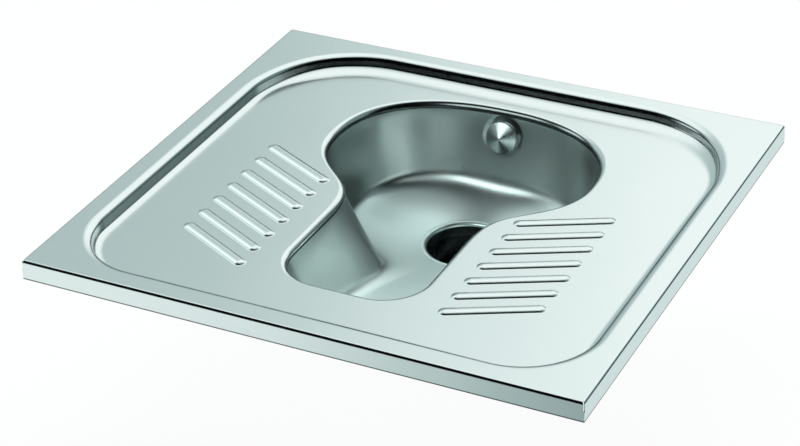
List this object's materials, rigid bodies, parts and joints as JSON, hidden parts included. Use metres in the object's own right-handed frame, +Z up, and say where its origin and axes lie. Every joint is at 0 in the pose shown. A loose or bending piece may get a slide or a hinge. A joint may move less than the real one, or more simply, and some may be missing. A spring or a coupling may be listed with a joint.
{
  "type": "squat toilet",
  "caption": "Recessed steel squat toilet pan: dished deck with ribbed treads, keyhole bowl, rear outlet and a screwed flush spray nozzle in the back wall.",
  "frame": {"origin": "middle of the rim's top face, level with the finished floor", "axes": "+X along the front edge to the right, +Y from the front edge to the back, +Z up"},
  "size_m": [0.7, 0.65, 0.236],
  "materials": {
    "satin_steel": "satin",
    "turned_steel": "turned bright",
    "plain_steel": "mill",
    "brass": "machined",
    "zinc_steel": "zinc plated",
    "black_rubber": "matt",
    "damping": "bitumen"
  },
  "bodies": {
    "pan": {"deck_panel": "satin_steel", "bowl": "satin_steel", "nozzle_body": "turned_steel", "nozzle_gasket": "black_rubber", "nozzle_outer_gasket": "black_rubber", "nozzle_washer": "plain_steel", "nozzle_backnut": "brass", "inlet_seal": "black_rubber", "inlet_pipe": "plain_steel", "inlet_union_nut": "brass", "outlet_spigot": "plain_steel", "outlet_seal": "black_rubber", "tread_stiffener_left": "plain_steel", "tread_stiffener_right": "plain_steel", "front_stiffener": "plain_steel", "anchor_lug_front_left": "zinc_steel", "anchor_lug_front_right": "zinc_steel", "anchor_lug_rear_left": "zinc_steel", "anchor_lug_rear_right": "zinc_steel", "damping_pad_left": "damping", "damping_pad_right": "damping", "earth_tab": "plain_steel", "earth_bolt": "zinc_steel", "earth_washer": "zinc_steel", "earth_nut": "zinc_steel"},
    "stem_ring": {"stem_seal": "black_rubber"},
    "spray_head": {"spray_head": "turned_steel"}
  },
  "joints": [
    {"name": "spray_travel", "type": "slide", "parent": "pan", "child": "stem_ring", "axis": [0, -0.9721, 0.2347], "range_m": [0, 0.004]},
    {"name": "spray_turn", "type": "hinge", "parent": "stem_ring", "child": "spray_head", "pos_m": [0, 0.24588, -0.0532], "axis": [0, -0.9721, 0.2347], "range_deg": [0, 720]}
  ],
  "couplings": [
    {"joint": "spray_travel", "follows": "spray_turn", "m_per_rad": 0.00031831}
  ]
}
